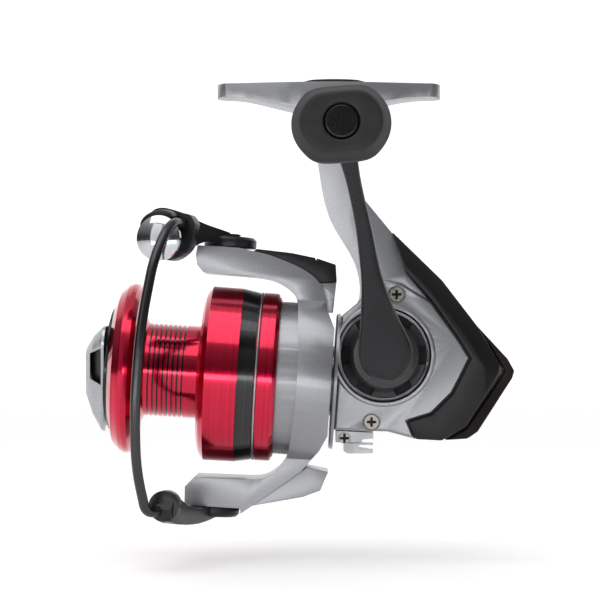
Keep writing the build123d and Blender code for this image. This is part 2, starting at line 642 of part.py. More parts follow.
# ---------------------------------------------------------------- rotor
rotor_rear = 0.5
rotor_web = 8.0
rotor_face = 10.0
hinge_face_top = 36.1
hinge_face_bottom = -37.5
rotor_cavity_radius = 11.5
with BuildPart() as rotor:
    with BuildSketch(Plane(origin=reel(0, 30, 0), x_dir=forward, z_dir=(0, 1, 0))) as arms_profile:
        with BuildLine():
            Polyline((rotor_rear, -15.0), (rotor_rear, 15.0), (2.6, 19.7))
            Spline((2.6, 19.7), (4.9, 26.8), (9.2, 30.6), (18.3, 34.1), (29.1, hinge_face_top),
                   tangents=[(0.3, 1), (1, 0.15)])
            Polyline((29.1, hinge_face_top), (40.6, hinge_face_top), (40.9, 33.3), (40.4, 30.6), (38.6, 28.6),
                     (25.3, 28.4))
            Spline((25.3, 28.4), (17.0, 27.1), (12.6, 24.2), (10.7, 16.2), tangents=[(-1, -0.05), (-0.1, -1)])
            Polyline((10.7, 16.2), (rotor_face, 7.5), (rotor_face, -7.5), (10.7, -16.2))
            Spline((10.7, -16.2), (12.6, -24.2), (17.0, -28.2), (23.5, -29.2), tangents=[(0.1, -1), (1, -0.05)])
            Polyline((23.5, -29.2), (37.3, -29.5), (39.8, -32.3), (39.6, hinge_face_bottom),
                     (23.8, hinge_face_bottom), (23.6, -39.0), (20.1, -36.3), (7.1, -25.8), (2.6, -19.7),
                     (rotor_rear, -15.0))
        make_face()
    extrude(arms_profile.sketch, amount=60)
    with BuildSketch(across(-5)) as front_outline:
        Circle(24.4)
        Rectangle(2 * rotor_arm_half_width, 84)
    extrude(front_outline.sketch, amount=60, mode=Mode.INTERSECT)
    tube(rotor_face, 23.5, drum_radius, drum_radius - drum_wall)
    tube(rotor_web, rotor_face + 0.1, drum_radius, pinion_radius)
    tube(rotor_rear - 1, rotor_web, rotor_cavity_radius, 0, Mode.SUBTRACT)
    tube(-5, 60, pinion_radius, 0, Mode.SUBTRACT)
    tube(rotor_face + 0.6, 22, drum_radius - drum_wall, pinion_radius + 3, Mode.SUBTRACT)
    for end in (hinge_face_top - 5, hinge_face_bottom):
        disc(level(end), 1.3, 5, Mode.SUBTRACT)
save(rotor, "rotor")
with BuildPart() as pinion_gear:
    tube(-11.4, 13.6, pinion_radius, main_shaft_radius + running_gap)
    with BuildSketch(across(-11.4)) as pinion_section:
        with PolarLocations(pinion_radius + 0.2, pinion_teeth):
            Rectangle(1.0, 1.0)
    extrude(pinion_section.sketch, amount=5.6)
save(pinion_gear, "pinion_gear")

with BuildPart() as clutch_sleeve:
    tube(0.9, 6.2, clutch_sleeve_radius - running_gap, pinion_radius)
save(clutch_sleeve, "clutch_sleeve")

with BuildPart() as rotor_nut:
    with BuildSketch(across(rotor_face + 0.6)) as hexagon:
        RegularPolygon(5.8, 6)
    extrude(hexagon.sketch, amount=2.4)
    tube(10, 14, pinion_radius, 0, Mode.SUBTRACT)
save(rotor_nut, "rotor_nut")


def cheek(outline, half_width, mode=Mode.ADD):
    """Slab across the middle plane from its outline in u and v."""
    slab(Plane(origin=reel(0, half_width, 0), x_dir=forward, z_dir=(0, 1, 0)), outline, 2 * half_width, mode)


with BuildPart() as arm_cover:
    cheek([(23.8, 36.2), (14.0, 35.7), (6.9, 34.7), (1.2, 33.2), (0.6, 28.4), (5.5, 27.7), (16, 31.0),
           (25.6, 35.0)], 7.6)
    cheek([(19.5, 35.0), (8.5, 33.6), (2.2, 31.9), (1.9, 29.3), (5.0, 28.4), (14, 30.0)], 4.5, Mode.SUBTRACT)
    cheek([(6.7, 34.2), (7.1, 34.2), (7.1, 36.0), (6.7, 36.0)], 9, Mode.SUBTRACT)
    add(rotor.part, mode=Mode.SUBTRACT)
save(arm_cover, "arm_cover")

spring_base = reel(2.9, 0, 30.5)
spring_tip = reel(9.4, 0, 32.6)
with BuildPart() as bail_spring:
    spring_plane = Plane(origin=spring_base, x_dir=near, z_dir=spring_tip - spring_base)
    disc(spring_plane, 0.4, (spring_tip - spring_base).length)
    with BuildSketch(spring_plane.offset(1.0)) as coil:
        Circle(0.9)
    extrude(coil.sketch, amount=4.4)
save(bail_spring, "bail_spring")

with BuildPart() as arm_block:
    cheek([(0.7, 28.0), (5.2, 27.3), (4.6, 24.0), (3.4, 19.6), (1.1, 19.6)], 6.4)
    cheek([(0, 23.8), (1.0, 23.8), (1.0, 24.2), (0, 24.2)], 9, Mode.SUBTRACT)
    add(rotor.part, mode=Mode.SUBTRACT)
    add(arm_cover.part, mode=Mode.SUBTRACT)
save(arm_block, "arm_block")

with BuildPart() as arm_fin:
    cheek([(20.6, -36.7), (6.2, -33.2), (1.5, -31.1), (-0.4, -25.7), (5.8, -24.8)], 8.0)
    add(rotor.part, mode=Mode.SUBTRACT)
save(arm_fin, "arm_fin")

hub_radius = 7.5
top_hub_v = hinge_face_top + body_gap
bottom_hub_v = hinge_face_bottom - body_gap
top_screw_v = 38.7
bottom_screw_v = -39.5
with BuildPart() as bail_screws:
    disc(level(top_screw_v), 2.8, 1.6)
    disc(level(hinge_face_top - 4.9), 1.3, top_screw_v - hinge_face_top + 4.9)
    disc(level(bottom_screw_v), 2.8, -1.5)
    disc(level(hinge_face_bottom + 4.9), 1.3, bottom_screw_v - hinge_face_bottom - 4.9)
    for start, depth in ((top_screw_v + 1.0, 1), (bottom_screw_v - 0.9, -1)):
        with BuildSketch(level(start)) as drive_slot:
            Rectangle(4.0, 0.7)
        extrude(drive_slot.sketch, amount=depth, mode=Mode.SUBTRACT)
save(bail_screws, "bail_screws")

# ---------------------------------------------------------------- bail


def bail_point(angle, reach, v):
    """Point at a distance from the bail hinge, in a direction from straight ahead."""
    return reel(bail_pivot_u, 0, v) + heading(angle) * reach


def upright(angle, shift):
    """Plane through the bail hinge at an angle from straight ahead, its x outward and its y up."""
    normal = heading(angle).cross(upward)
    return Plane(origin=reel(bail_pivot_u, 0, 0) + normal * shift, x_dir=heading(angle), z_dir=normal)


roller_reach = 23.5
roller_v = 36.5
roller_origin = bail_point(arm_side_angle, roller_reach, roller_v)
roller_direction = heading(roller_axis_angle)
roller_axis = Axis(roller_origin, roller_direction)


def beside_roller(distance):
    """Plane square to the line roller's axis, its x rearward and its y up."""
    return Plane(origin=roller_origin + roller_direction * distance,
                 x_dir=heading(roller_axis_angle + 90), z_dir=roller_direction)


def roller_turn(outline, mode=Mode.ADD):
    section_plane = Plane(origin=roller_origin, x_dir=roller_direction, z_dir=roller_direction.cross(upward))
    revolve(face_of(section_plane, outline), axis=roller_axis, mode=mode)


root_x = 4.0
root_v = 4.6                    # above the roller's axis
root_start = beside_roller(0.8).from_local_coords((root_x, root_v, 0))
root_turn = beside_roller(13.2).from_local_coords((root_x, root_v, 0))
lever_angle = 70.0
lever_boss = reel(43.5, 29.5, -36.3)
lever_boss_direction = heading(82)
wire_points = [
    root_start, root_turn, bail_point(wire_side_angle, 43.0, 31.2), bail_point(wire_side_angle, 48.0, 12.0),
    bail_point(wire_side_angle, 48.3, -9.0), bail_point(wire_side_angle, 45.6, -25.5),
    bail_point(wire_side_angle, 38.6, -38.4), lever_boss + lever_boss_direction * 0.6 - upward * 1.0,
]


def bend_radii(points):
    """Radius at each corner, as large as the two runs beside it allow."""
    radii = []
    for before, corner, after in zip(points, points[1:], points[2:]):
        half_turn = radians((corner - before).get_angle(after - corner)) / 2
        shorter = min((corner - before).length, (after - corner).length)
        radii.append(0.45 * shorter / tan(half_turn))
    return radii


with BuildPart() as bail_wire:
    with BuildLine() as wire_path:
        FilletPolyline(*wire_points, radius=bend_radii(wire_points))
    with BuildSketch(Plane(origin=wire_path.line @ 0, z_dir=wire_path.line % 0)) as wire_section:
        Circle(wire_radius)
    sweep(wire_section.sketch, path=wire_path.line)
save(bail_wire, "bail_wire")

with BuildPart() as bail_cap:
    with BuildSketch(Plane(origin=roller_origin, x_dir=roller_direction,
                           z_dir=roller_direction.cross(upward))) as cap_section:
        with BuildLine():
            Polyline((12.9, 0), (9.4, 0), (9.4, cap_radius - 0.5), (9.9, cap_radius), (11.1, cap_radius))
            ThreePointArc((11.1, cap_radius), (12.4, 3.6), (12.9, 0))
        make_face()
    revolve(cap_section.sketch, axis=roller_axis)
    roller_turn([(-2.6, 0), (9.4, 0), (9.4, 1.3), (-2.6, 1.3)])
    add(bail_wire.part, mode=Mode.SUBTRACT)
save(bail_cap, "bail_cap")

with BuildPart() as bail_arm:
    disc(level(top_hub_v), hub_radius, 3.0)
    chamfer(bail_arm.faces().sort_by(Axis.Z)[-1].edges(), length=0.8)
    with BuildSketch(upright(arm_side_angle, -1.9)) as arm_outline:
        with BuildLine():
            ridge = Spline((-6.0, 38.8), (5.0, 41.0), (14.0, 42.5), (20.0, 43.6), (24.0, 43.2),
                           tangents=[(1, 0.25), (1, -0.35)])
            Polyline(ridge @ 1, (25.2, 41.0), (25.2, 33.5), (22.0, 32.0), (19.4, 33.4))
            Spline((19.4, 33.4), (15.0, 36.0), (9.0, 37.6), tangents=[(-1, 0.55), (-1, 0.1)])
            Polyline((9.0, 37.6), (-6.0, 37.6), ridge @ 0)
        make_face()
    extrude(arm_outline.sketch, amount=3.8)
    with BuildSketch(beside_roller(-2.4)) as flange:
        with BuildLine():
            crown = Spline((-6.6, 1.0), (-6.7, 5.6), (-4.6, 8.3), (-0.8, 8.8), (4.4, 7.6), (7.4, 5.0),
                           tangents=[(0, 1), (0.5, -1)])
            Polyline(crown @ 1, (6.6, -0.6))
            Spline((6.6, -0.6), (4.4, -3.8), (0.4, -5.6), (-4.2, -4.4), (-6.6, 1.0),
                   tangents=[(-0.3, -1), (0, 1)])
        make_face()
    extrude(flange.sketch, amount=4.8)
    disc(level(top_screw_v), 3.0, 10, Mode.SUBTRACT)
    disc(level(top_hub_v - 1), 1.3 + running_gap, 10, Mode.SUBTRACT)
    roller_turn([(-12, 0), (9.4, 0), (9.4, 1.3), (-12, 1.3)], Mode.SUBTRACT)
    add(bail_wire.part, mode=Mode.SUBTRACT)
save(bail_arm, "bail_arm")

with BuildPart() as bail_lever:
    disc(level(bottom_hub_v), hub_radius, -2.8)
    chamfer(bail_lever.faces().sort_by(Axis.Z)[0].edges(), length=0.8)
    with BuildSketch(upright(lever_angle, -2.2)) as lever_outline:
        with BuildLine():
            Polyline((-6.0, bottom_hub_v), (16.0, bottom_hub_v), (23.0, -36.6), (28.0, -34.6), (33.0, -34.6),
                     (35.0, -37.0), (34.0, -40.2), (30.0, -41.2))
            Spline((30.0, -41.2), (16.0, -42.0), (-6.0, -39.6), tangents=[(-1, -0.1), (-1, 0.15)])
            Line((-6.0, -39.6), (-6.0, bottom_hub_v))
        make_face()
    extrude(lever_outline.sketch, amount=4.4)
    with BuildSketch(Plane(origin=lever_boss - lever_boss_direction * 2.6, x_dir=lever_boss_direction.cross(upward),
                           z_dir=lever_boss_direction)) as boss:
        Circle(4.2)
    extrude(boss.sketch, amount=4.6)
    disc(level(bottom_screw_v), 3.0, -10, Mode.SUBTRACT)
    disc(level(bottom_hub_v + 1), 1.3 + running_gap, -10, Mode.SUBTRACT)
    add(bail_wire.part, mode=Mode.SUBTRACT)
save(bail_lever, "bail_lever")

with BuildPart() as line_roller:
    roller_turn([(2.9, 1.35), (9.0, 1.35), (9.0, 4.0), (8.3, 4.0), (7.3, 2.9), (4.6, 2.9), (3.6, 4.0),
                 (2.9, 4.0)])
save(line_roller, "line_roller")
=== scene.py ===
"""Spinning reel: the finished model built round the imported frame.

Lengths are metres in the frame's own axes: +Z up to the rod, -X to the spool end, -Y to the handle.
"""
import json
from math import cos, pi, radians, sin

import bmesh
import bpy
from mathutils import Matrix, Vector


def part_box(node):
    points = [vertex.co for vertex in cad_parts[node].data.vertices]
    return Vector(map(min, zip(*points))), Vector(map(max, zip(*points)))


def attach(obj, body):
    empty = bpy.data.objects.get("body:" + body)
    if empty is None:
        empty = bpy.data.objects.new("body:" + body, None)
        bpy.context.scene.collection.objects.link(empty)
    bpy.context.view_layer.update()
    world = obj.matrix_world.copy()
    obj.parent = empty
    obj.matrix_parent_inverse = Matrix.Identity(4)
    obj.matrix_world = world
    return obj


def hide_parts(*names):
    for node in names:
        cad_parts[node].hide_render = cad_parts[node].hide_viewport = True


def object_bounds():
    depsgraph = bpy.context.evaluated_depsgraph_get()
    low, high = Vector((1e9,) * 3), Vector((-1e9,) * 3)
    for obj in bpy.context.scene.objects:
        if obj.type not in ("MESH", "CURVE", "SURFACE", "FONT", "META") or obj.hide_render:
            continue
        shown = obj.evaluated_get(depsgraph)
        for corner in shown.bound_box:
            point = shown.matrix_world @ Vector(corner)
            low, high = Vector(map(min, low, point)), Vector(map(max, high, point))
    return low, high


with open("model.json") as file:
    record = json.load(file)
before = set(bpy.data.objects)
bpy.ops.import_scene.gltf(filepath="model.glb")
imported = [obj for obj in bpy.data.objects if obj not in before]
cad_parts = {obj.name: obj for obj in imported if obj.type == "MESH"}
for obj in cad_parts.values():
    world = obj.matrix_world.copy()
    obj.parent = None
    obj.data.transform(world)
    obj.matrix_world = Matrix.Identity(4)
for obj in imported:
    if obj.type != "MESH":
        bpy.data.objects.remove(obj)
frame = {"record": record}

cad_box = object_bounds()
MM = 0.001

# ------------------------------------------------------------------ places taken from the frame
joints = {joint["name"]: joint for joint in frame["record"]["behaviour"]["joints"]}
SHAFT_START = Vector(joints["rotor_spin"]["pos_m"])
FORWARD = Vector(joints["rotor_spin"]["axis"]).normalized()
UPWARD = -Vector(joints["bail_flip"]["axis"]).normalized()
NEAR = Vector((0, -1, 0))
HANDLE = Vector(joints["handle_spin"]["pos_m"])
KNOB = Vector(joints["knob_spin"]["pos_m"])
ROLLER = Vector(joints["roller_spin"]["pos_m"])
ROLLER_AXIS = Vector(joints["roller_spin"]["axis"]).normalized()


# ------------------------------------------------------------------ material maths
class Signal:
    """One output socket; the operators add Math nodes."""

    def __init__(self, nodes, socket):
        self.nodes = nodes
        self.socket = socket

    def maths(self, operation, *values):
        return self.nodes.node("ShaderNodeMath", {"operation": operation}, dict(enumerate(values)))

    def __add__(self, other):
        return self.maths("ADD", self, other)

    __radd__ = __add__

    def __sub__(self, other):
        return self.maths("SUBTRACT", self, other)

    def __rsub__(self, other):
        return self.maths("SUBTRACT", other, self)

    def __mul__(self, other):
        return self.maths("MULTIPLY", self, other)

    __rmul__ = __mul__

    def __abs__(self):
        return self.maths("ABSOLUTE", self)

    def above(self, other):
        return self.maths("GREATER_THAN", self, other)

    def below(self, other):
        return self.maths("LESS_THAN", self, other)


class Nodes:
    """A node tree, and the one way its nodes are added."""

    def __init__(self, tree):
        self.tree = tree

    def put(self, socket, value):
        """Link a signal to an input socket, or set its value. A colour comes without its alpha."""
        if isinstance(value, Signal):
            self.tree.links.new(value.socket, socket)
        elif socket.type == "RGBA":
            socket.default_value = (*value, 1)
        else:
            socket.default_value = value

    def node(self, kind, settings=None, inputs=None, output=0):
        """Add a node: its settings first, then the values or links of its sockets."""
        made = self.tree.nodes.new(kind)
        for name, value in (settings or {}).items():
            if name == "stops":
                ramp = made.color_ramp.elements
                while len(ramp) < len(value):
                    ramp.new(1.0)
                for stop, (place, colour) in zip(ramp, value):
                    stop.position = place
                    stop.color = (*colour, 1)
            else:
                setattr(made, name, value)
        for name, value in (inputs or {}).items():
            self.put(made.inputs[name], value)
        return Signal(self, made.outputs[output])


class Finish(Nodes):
    """A material with one Principled shader and the nodes that vary it."""

    def __init__(self, name, **constants):
        self.material = bpy.data.materials.new(name)
        self.material.use_nodes = True
        super().__init__(self.material.node_tree)
        self.shader = self.tree.nodes["Principled BSDF"]
        for socket, value in constants.items():
            self.set(socket.replace("_", " "), value)

    def set(self, socket, value):
        self.put(self.shader.inputs[socket], value)

    def place(self):
        return self.node("ShaderNodeTexCoord", output="Object")

    def vector(self, operation, first, second=None, output="Vector"):
        inputs = {0: first} if second is None else {0: first, 1: second}
        return self.node("ShaderNodeVectorMath", {"operation": operation}, inputs, output)

    def along(self, direction, start=Vector((0, 0, 0))):
        """Distance along a direction from a point, in millimetres."""
        shifted = self.vector("SUBTRACT", self.place(), start)
        return self.vector("DOT_PRODUCT", shifted, direction / MM, "Value")

    def from_axis(self, direction, start):
        """Distance from an axis, in millimetres."""
        shifted = self.vector("SUBTRACT", self.place(), start)
        across = self.vector("CROSS_PRODUCT", shifted, direction / MM)
        return self.vector("LENGTH", across, output="Value")

    def noise(self, per_metre, detail=2.0, roughness=0.5, stretch=None):
        place = self.place()
        if stretch:
            place = self.vector("MULTIPLY", place, stretch)
        return self.node("ShaderNodeTexNoise", None, {"Vector": place, "Scale": per_metre, "Detail": detail,
                                                      "Roughness": roughness})

    def fit(self, signal, low, high, new_low, new_high):
        return self.node("ShaderNodeMapRange", None, {0: signal, 1: low, 2: high, 3: new_low, 4: new_high})

    def blend(self, share, first, second):
        """Colour between two colours; each is a tuple or a signal."""
        return self.node("ShaderNodeMix", {"data_type": "RGBA"}, {0: share, 6: first, 7: second}, 2)

    def bump(self, height, depth_mm, strength=1.0):
        self.set("Normal", self.node("ShaderNodeBump", None, {
            "Height": height, "Distance": depth_mm * MM, "Strength": strength}))


def scaled(colour, amount):
    return tuple(amount * part for part in colour)


# Where looks change, in millimetres: along the shaft and from it, out from the middle plane, or on a screw's head.
GROOVE_REAR, GROOVE_FRONT = 41.0, 54.0
GROOVE_FLOOR, GROOVE_TOP = 12.4, 13.05
LIP_FACE, LIP_INNER = 62.9, 15.0
COLLAR_WINDOW_FLOOR = 12.6
CROSS_HALF_WIDTH, CROSS_REACH = 0.36, 1.35
HEAD_RIM, SHADOW_RIM = 2.0, 3.0
COVER_AND_BRACKET_SCREWS = [(19.1, -60.4), (12.0, -96.4), (4.4, -101.1)]
PAINTED_SHADE_BLACK = (0.006, 0.006, 0.006)


def silver_paint():
    """Sprayed silver with fine flake and a clear coat."""
    finish = Finish("silver_paint", Metallic=0.75, Coat_Weight=0.35, Coat_Roughness=0.12)
    flake = finish.noise(9000.0, 1.0)
    cloud = finish.noise(60.0, 3.0)
    finish.set("Base Color", finish.blend(finish.fit(flake, 0.3, 0.7, 0, 1),
                                          (0.23, 0.235, 0.25), (0.33, 0.335, 0.355)))
    finish.set("Roughness", finish.fit(flake + cloud * 0.5, 0.4, 1.1, 0.30, 0.42))
    finish.bump(flake, 0.012, 0.6)
    return finish.material


def black_moulding(name, colour, roughness, grain=2600.0, gloss=0.28):
    """Satin moulded plastic with a spark-eroded grain."""
    finish = Finish(name, Specular_IOR_Level=gloss)
    speck = finish.noise(grain, 2.0, 0.6)
    cloud = finish.noise(90.0, 2.0)
    patches = finish.fit(cloud, 0.35, 0.65, 0, 1)
    finish.set("Base Color", finish.blend(patches, scaled(colour, 0.8), scaled(colour, 1.25)))
    finish.set("Roughness", finish.fit(speck, 0.35, 0.65, roughness - 0.05, roughness + 0.07))
    finish.bump(speck, 0.02, 0.5)
    return finish.material


def collar_satin():
    """Satin black collar, dull in the floors of its windows, which are painted darker as painted shade."""
    finish = Finish("collar_satin", Specular_IOR_Level=0.35)
    speck = finish.noise(2600.0, 2.0, 0.6)
    shaded_window_floor = finish.along(NEAR).below(COLLAR_WINDOW_FLOOR)
    # Painted shade: the floors of the windows are painted nearly black, for the shade in these recesses.
    finish.set("Base Color", finish.blend(shaded_window_floor, (0.022, 0.022, 0.025), (0.002, 0.002, 0.002)))
    finish.set("Roughness", finish.fit(speck, 0.35, 0.65, 0.27, 0.36) + shaded_window_floor * 0.4)
    finish.bump(speck, 0.015, 0.4)
    return finish.material


def soft_grip():
    """Soft-touch rubber, slightly dusty."""
    finish = Finish("soft_grip", Sheen_Weight=0.03, Sheen_Roughness=0.5, Specular_IOR_Level=0.3)
    speck = finish.noise(3600.0, 3.0, 0.7)
    dust = finish.noise(140.0, 4.0, 0.65)
    finish.set("Base Color", finish.blend(finish.fit(dust, 0.4, 0.7, 0, 1),
                                          (0.010, 0.010, 0.011), (0.018, 0.018, 0.019)))
    finish.set("Roughness", finish.fit(speck, 0.3, 0.7, 0.48, 0.62))
    finish.bump(speck, 0.03, 0.6)
    return finish.material


def anodised(name, colour, deep, roughness):
    """Turned and anodised aluminium: fine rings left by the lathe run round the shaft."""
    finish = Finish(name, Metallic=0.92, Coat_Weight=0.5, Coat_Roughness=0.06)
    along = finish.along(FORWARD, SHAFT_START)
    away = finish.from_axis(FORWARD, SHAFT_START)
    spot = finish.node("ShaderNodeCombineXYZ", None, {0: along, 1: away})
    rings = finish.node("ShaderNodeTexNoise", None, {"Vector": spot, "Scale": 9.0, "Detail": 3.0})
    tint = finish.node("ShaderNodeTexNoise", None, {"Vector": spot, "Scale": 1.2, "Detail": 1.0})
    stained = finish.blend(finish.fit(tint, 0.3, 0.7, 0, 1), deep, colour)
    groove = (away.below(GROOVE_TOP) * away.above(GROOVE_FLOOR)
              * along.above(GROOVE_REAR) * along.below(GROOVE_FRONT))
    front_edge = along.above(LIP_FACE) * away.above(LIP_INNER)
    finish.set("Base Color", finish.blend(groove + front_edge, stained, (0.012, 0.010, 0.011)))
    finish.set("Roughness", finish.fit(rings, 0.3, 0.7, roughness - 0.04, roughness + 0.07))
    finish.bump(rings, 0.012, 0.35)
    return finish.material


def polished(name, colour, roughness, metallic=1.0):
    """Plated metal with faint wiping marks."""
    finish = Finish(name, Metallic=metallic)
    smear = finish.noise(500.0, 4.0, 0.6, (1.0, 1.0, 0.2))
    fine = finish.noise(2500.0, 2.0)
    wiped = finish.fit(smear, 0.4, 0.7, 0, 1)
    finish.set("Base Color", finish.blend(wiped, scaled(colour, 0.9), colour))
    finish.set("Roughness", finish.fit(smear, 0.35, 0.7, roughness, roughness + 0.06))
    finish.bump(fine, 0.004, 0.3)
    return finish.material


def machined(name, colour, roughness):
    """Turned or cut metal, its tool marks running across."""
    finish = Finish(name, Metallic=1.0)
    marks = finish.noise(1200.0, 2.0, 0.5, (1.0, 6.0, 1.0))
    tarnish = finish.noise(200.0, 3.0)
    dulled = finish.fit(tarnish, 0.35, 0.7, 0, 1)
    finish.set("Base Color", finish.blend(dulled, scaled(colour, 0.7), colour))
    finish.set("Roughness", finish.fit(marks, 0.3, 0.7, roughness, roughness + 0.14))
    finish.bump(marks, 0.004, 0.3)
    return finish.material


def screw_steel(spots):
    """Dark plated screw heads, each at an (x, z) place in millimetres: the cross recess is a bump painted nearly
    black as painted shade, with a painted shadow ring round each head.
    """
    finish = Finish("screw_steel", Metallic=0.9)
    cross = 0
    shadow = 0
    for x, z in spots:
        middle = Vector((x, 0, z)) * MM
        sideways = abs(finish.along(Vector((1, 0, 0)), middle))
        upright = abs(finish.along(Vector((0, 0, 1)), middle))
        away = finish.from_axis(Vector((0, 1, 0)), middle)
        # Painted shade: the cross recess is painted nearly black, and the ring round each head is painted darker
        # as its shadow.
        slots = (sideways.below(CROSS_HALF_WIDTH) + upright.below(CROSS_HALF_WIDTH)).above(0.5)
        cross = cross + slots * away.below(CROSS_REACH)
        shadow = shadow + away.above(HEAD_RIM) * away.below(SHADOW_RIM)
    worn = finish.noise(900.0, 3.0)
    plain = finish.blend(finish.fit(worn, 0.35, 0.65, 0, 1), (0.16, 0.15, 0.135), (0.26, 0.245, 0.225))
    finish.set("Base Color", finish.blend(cross + shadow * 0.7, plain, PAINTED_SHADE_BLACK))
    finish.set("Roughness", finish.fit(worn, 0.3, 0.7, 0.24, 0.36))
    finish.bump(1 - cross, 0.25, 1.0)
    return finish.material


FINISHES = {
    "silver_paint": silver_paint(),
    "black_plastic": black_moulding("black_plastic", (0.006, 0.006, 0.0065), 0.36),
    "arm_paint": black_moulding("arm_paint", (0.010, 0.0105, 0.012), 0.30, 4200.0),
    "soft_grey": soft_grip(),
    "cap_plastic": black_moulding("cap_plastic", (0.006, 0.006, 0.0065), 0.24, 3500.0),
    "tail_plastic": black_moulding("tail_plastic", (0.012, 0.009, 0.008), 0.50, gloss=0.12),
    "red_anodised": anodised("red_anodised", (0.62, 0.004, 0.045), (0.44, 0.002, 0.028), 0.15),
    "black_anodised": anodised("black_anodised", (0.035, 0.035, 0.038), (0.02, 0.02, 0.022), 0.20),
    "shell_silver": polished("shell_silver", (0.42, 0.43, 0.45), 0.24, 0.85),
    "chrome": polished("chrome", (0.56, 0.57, 0.59), 0.06),
    "wire_metal": polished("wire_metal", (0.06, 0.06, 0.065), 0.22, 0.9),
    "steel": machined("steel", (0.40, 0.395, 0.39), 0.24),
    "brass": machined("brass", (0.72, 0.53, 0.24), 0.24),
    "gear_zinc": machined("gear_zinc", (0.50, 0.50, 0.51), 0.34),
    "inner_plastic": black_moulding("inner_plastic", (0.45, 0.45, 0.42), 0.5),
    "lever_white": black_moulding("lever_white", (0.62, 0.63, 0.65), 0.30),
    "screw_steel": screw_steel(COVER_AND_BRACKET_SCREWS),
    "collar_satin": collar_satin(),
}
slot_of = {part["node"]: part["material_slot"] for part in frame["record"]["subparts"]}


def wear(obj, look):
    """Give a piece one of the finishes."""
    obj.data.materials.clear()
    obj.data.materials.append(FINISHES[look])


look_of = {**slot_of, "cover_screws": "screw_steel", "bracket_screw": "screw_steel",
           "handle_collar": "collar_satin", "lever_bracket": "lever_white", "bail_screws": "black_anodised"}
for node, look in look_of.items():
    wear(bpy.data.objects[node], look)

# ------------------------------------------------------------------ mesh helpers


def new_piece(name, mesh, body, slot, *nodes):
    """Put a finished bmesh in the scene as a piece that rides on a body."""
    data = bpy.data.meshes.new(name)
    mesh.to_mesh(data)
    mesh.free()
    piece = bpy.data.objects.new(name, data)
    bpy.context.scene.collection.objects.link(piece)
    wear(piece, slot)
    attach(piece, body)
    if nodes:
        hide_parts(*nodes)
    return piece


body_of_node = {node: body for body, nodes in frame["record"]["behaviour"]["bodies"].items() for node in nodes}


WELD = 1e-6                    # metres
FLAT_WITHIN = radians(0.6)
SHARP_PAST = radians(28.0)


def soften(node, width_mm):
    """Stand a copy of a CAD node in for it, its flat faces joined and its sharp edges rounded."""
    mesh = bmesh.new()
    mesh.from_mesh(bpy.data.objects[node].data)
    bmesh.ops.remove_doubles(mesh, verts=mesh.verts, dist=WELD)
    bmesh.ops.dissolve_limit(mesh, angle_limit=FLAT_WITHIN, verts=mesh.verts, edges=mesh.edges,
                             delimit={"NORMAL"})
    piece = new_piece("soft_" + node, mesh, body_of_node[node], slot_of[node], node)
    wear(piece, look_of[node])
    bevel = piece.modifiers.new("edges", "BEVEL")
    bevel.width = width_mm * MM
    bevel.segments = 3
    bevel.limit_method = "ANGLE"
    bevel.angle_limit = SHARP_PAST
    bevel.harden_normals = True
    piece.data.shade_smooth()


EDGE_WIDTHS = {
    "body_frame": 0.8, "side_cover": 0.25, "rear_cover": 0.5, "rear_bumper": 0.6, "rotor": 0.6,
    "arm_cover": 0.5, "arm_fin": 0.6, "arm_block": 0.3, "lever_bracket": 0.15,
    "anti_reverse_lever": 0.2, "bail_arm": 0.7, "bail_lever": 0.7, "drag_knob_shell": 0.3,
    "drag_knob_insert": 0.25, "handle_collar": 0.25,
}
for node, width_mm in EDGE_WIDTHS.items():
    soften(node, width_mm)


def drawn_out(name, sides, stations, body, slot, *nodes, closed_round=False):
    """Draw a circle of edges out through stations, each of which places a point of the unit circle.

    closed_round joins the last station to the first, and otherwise both ends are filled.
    """
    mesh = bmesh.new()
    spot = mesh.verts.layers.float_vector.new("spot")
    ring = bmesh.ops.create_circle(mesh, segments=sides, radius=1.0)["verts"]
    first = list(mesh.edges)
    for vert in ring:
        vert[spot] = vert.co
        vert.co = stations[0](vert[spot])
    edges = first
    for station in stations[1:]:
        made = bmesh.ops.extrude_edge_only(mesh, edges=edges)["geom"]
        ring = {part for part in made if isinstance(part, bmesh.types.BMVert)}
        edges = [part for part in made if isinstance(part, bmesh.types.BMEdge) and ring.issuperset(part.verts)]
        for vert in ring:
            vert.co = station(vert[spot])
    if closed_round:
        bmesh.ops.bridge_loops(mesh, edges=first + edges)
    else:
        bmesh.ops.holes_fill(mesh, edges=mesh.edges, sides=0)
    bmesh.ops.recalc_face_normals(mesh, faces=mesh.faces)
    mesh.verts.layers.float_vector.remove(spot)
    new_piece(name, mesh, body, slot, *nodes).data.shade_smooth()


def smooth_through(knots, place):
    """Value at a place on the smooth curve through a list of (place, value)."""
    last = len(knots) - 1
    index = max(1, next((i for i, knot in enumerate(knots) if knot[0] >= place), last))
    before, after = knots[max(index - 2, 0)], knots[min(index + 1, last)]
    (x0, y0), (x1, y1) = knots[index - 1], knots[index]
    span = x1 - x0
    share = (place - x0) / span
    slope0 = (y1 - before[1]) / (x1 - before[0]) * span
    slope1 = (after[1] - y0) / (after[0] - x0) * span
    return (y0 * (2 * share ** 3 - 3 * share ** 2 + 1) + slope0 * (share ** 3 - 2 * share ** 2 + share)
            + y1 * (3 * share ** 2 - 2 * share ** 3) + slope1 * (share ** 3 - share ** 2))


def steps(start, end, count):
    """Evenly spaced values, both ends included."""
    return [start + (end - start) * step / (count - 1) for step in range(count)]


# ------------------------------------------------------------------ handle arm and knob
ARM_FULLNESS = 3               # 2 is an ellipse, and more is squarer
LEAN = KNOB - HANDLE
LEAN.y = 0
LEAN.normalize()
ACROSS = LEAN.cross(NEAR)


def fullness(spot, power):
    """How far a point of the unit circle moves out to lie on a squarer outline."""
    return (abs(spot.x) ** power + abs(spot.y) ** power) ** (-1 / power)


def arm_point(sideways, reach, out):
    """Point in the handle's frame, in millimetres."""
    return Vector((HANDLE.x, 0, HANDLE.z)) + (ACROSS * sideways + LEAN * reach + NEAR * out) * MM


